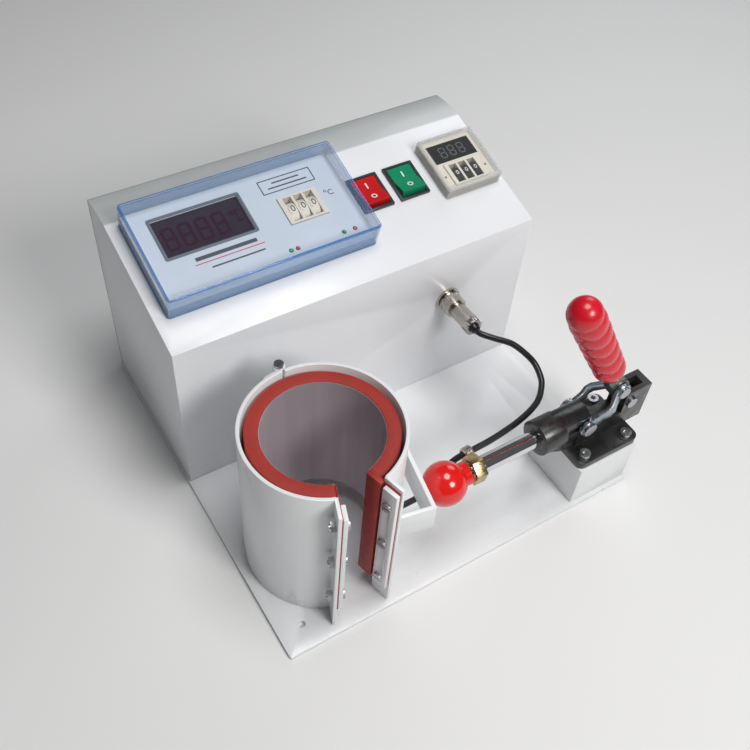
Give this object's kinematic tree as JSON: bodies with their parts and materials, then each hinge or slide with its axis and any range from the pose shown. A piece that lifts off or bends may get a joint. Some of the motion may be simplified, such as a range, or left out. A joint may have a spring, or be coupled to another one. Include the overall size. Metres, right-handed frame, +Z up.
{
  "type": "mug heat press",
  "caption": "Bench mug heat press with a split heated sleeve, push clamp with ball tip, and a sloped control console with timer and rocker switches.",
  "frame": {"origin": "centre of the underside of the base plate", "axes": "+X to the right seen from the front, +Y towards the console at the back, +Z up"},
  "size_m": [0.317, 0.3025, 0.2072],
  "materials": {
    "white_paint": "satin powder coat",
    "zinc_screw": "bright zinc",
    "chrome": "polished",
    "steel_pin": "turned",
    "link_steel": "zinc plated",
    "lever_steel": "oiled",
    "brass": "machined",
    "black_cast": "black paint",
    "red_ball": "gloss",
    "red_grip": "satin",
    "red_silicone": "matt",
    "black_plastic": "fine texture",
    "pale_plastic": "pale grey controller housing",
    "beige_plastic": "satin",
    "blue_clear": "clear blue plastic",
    "clear_cover": "clear plastic",
    "red_window": "dark red lens",
    "dark_window": "smoked lens",
    "segment_red": "diffuse",
    "lamp_green": "diffuse lens",
    "lamp_red": "diffuse lens",
    "rocker_red": "gloss",
    "rocker_green": "gloss",
    "lead_black": "satin",
    "nickel": "nickel plated",
    "relay_black": "moulded"
  },
  "bodies": {
    "base": {"base_plate": "white_paint", "base_screws": "zinc_screw", "console_case": "white_paint", "rear_panel": "white_paint", "rear_screws": "zinc_screw", "power_inlet": "black_plastic", "relay": "relay_black", "controller_case": "pale_plastic", "display_window": "red_window", "display_digits": "segment_red", "lamps_green": "lamp_green", "lamps_red": "lamp_red", "setting_frame": "beige_plastic", "red_switch_frame": "black_plastic", "green_switch_frame": "black_plastic", "timer_housing": "black_plastic", "timer_face": "beige_plastic", "timer_window": "dark_window", "heater_socket": "nickel", "plug_ring": "nickel", "plug_body": "nickel", "plug_tail": "lead_black", "heater_lead": "lead_black", "lead_ferrule": "nickel", "fixed_sleeve": "white_paint", "hinge_pin": "steel_pin", "fixed_mat": "red_silicone", "left_strip": "white_paint", "left_strip_screws": "zinc_screw", "left_strip_nuts": "zinc_screw", "clamp_pedestal": "white_paint", "clamp_body": "black_cast", "clamp_bolts": "zinc_screw", "clamp_nuts": "zinc_screw", "handle_pivot_pin": "steel_pin"},
    "handle": {"handle_lever": "lever_steel", "handle_grip": "red_grip", "link_pin": "steel_pin"},
    "links": {"toggle_links": "link_steel"},
    "plunger": {"plunger_rod": "chrome", "jam_nut": "brass", "ball_tip": "red_ball", "plunger_pin": "steel_pin"},
    "moving_half": {"moving_sleeve": "white_paint", "push_bracket": "white_paint", "moving_mat": "red_silicone", "right_strip": "white_paint", "right_strip_screws": "zinc_screw", "right_strip_nuts": "zinc_screw", "lead_grommet": "lead_black"},
    "blue_cover": {"blue_cover": "blue_clear"},
    "timer_cover": {"timer_cover": "clear_cover"},
    "red_rocker": {"red_rocker": "rocker_red"},
    "green_rocker": {"green_rocker": "rocker_green"},
    "setting_wheel_1": {"setting_wheel_1": "beige_plastic"},
    "timer_wheel_1": {"timer_wheel_1": "black_plastic"},
    "setting_wheel_2": {"setting_wheel_2": "beige_plastic"},
    "timer_wheel_2": {"timer_wheel_2": "black_plastic"},
    "setting_wheel_3": {"setting_wheel_3": "beige_plastic"},
    "timer_wheel_3": {"timer_wheel_3": "black_plastic"}
  },
  "joints": [
    {"name": "handle_turn", "type": "hinge", "parent": "base", "child": "handle", "pos_m": [0.15, -0.12, 0.073], "axis": [0, -1, 0], "range_deg": [-15, 22]},
    {"name": "plunger_slide", "type": "slide", "parent": "base", "child": "plunger", "axis": [-1, 0, 0], "range_m": [-0.0064, 0.0093]},
    {"name": "link_turn", "type": "hinge", "parent": "handle", "child": "links", "pos_m": [0.137, -0.12, 0.091], "axis": [0, -1, 0], "range_deg": [-31.5, 21.5]},
    {"name": "sleeve_hinge", "type": "hinge", "parent": "base", "child": "moving_half", "pos_m": [-0.0889, -0.0221, 0.071], "axis": [0, 0, -1], "range_deg": [-4.7, 6.8], "deforming": ["heater_lead"]},
    {"name": "blue_cover_lift", "type": "slide", "parent": "base", "child": "blue_cover", "axis": [0, -0.2656, 0.9641], "range_m": [0, 0.03]},
    {"name": "timer_cover_lift", "type": "slide", "parent": "base", "child": "timer_cover", "axis": [0, -0.2656, 0.9641], "range_m": [0, 0.018]},
    {"name": "red_rocker_tilt", "type": "hinge", "parent": "base", "child": "red_rocker", "pos_m": [0.0402, 0.07722, 0.16172], "axis": [1, 0, 0], "range_deg": [0, 18]},
    {"name": "green_rocker_tilt", "type": "hinge", "parent": "base", "child": "green_rocker", "pos_m": [0.072, 0.07722, 0.16172], "axis": [1, 0, 0], "range_deg": [0, 18]},
    {"name": "setting_wheel_1_turn", "type": "hinge", "parent": "base", "child": "setting_wheel_1", "pos_m": [-0.0251, 0.07898, 0.16438], "axis": [1, 0, 0], "continuous": true},
    {"name": "setting_wheel_2_turn", "type": "hinge", "parent": "base", "child": "setting_wheel_2", "pos_m": [-0.0167, 0.07898, 0.16438], "axis": [1, 0, 0], "continuous": true},
    {"name": "setting_wheel_3_turn", "type": "hinge", "parent": "base", "child": "setting_wheel_3", "pos_m": [-0.0083, 0.07898, 0.16438], "axis": [1, 0, 0], "continuous": true},
    {"name": "timer_wheel_1_turn", "type": "hinge", "parent": "base", "child": "timer_wheel_1", "pos_m": [0.1097, 0.06512, 0.16046], "axis": [1, 0, 0], "continuous": true},
    {"name": "timer_wheel_2_turn", "type": "hinge", "parent": "base", "child": "timer_wheel_2", "pos_m": [0.1181, 0.06512, 0.16046], "axis": [1, 0, 0], "continuous": true},
    {"name": "timer_wheel_3_turn", "type": "hinge", "parent": "base", "child": "timer_wheel_3", "pos_m": [0.1265, 0.06512, 0.16046], "axis": [1, 0, 0], "continuous": true}
  ],
  "couplings": [
    {"joint": "plunger_slide", "follows": "handle_turn", "m_per_rad": 0.024007},
    {"joint": "link_turn", "follows": "handle_turn", "ratio": -1.423},
    {"joint": "sleeve_hinge", "follows": "handle_turn", "ratio": 0.30231}
  ]
}
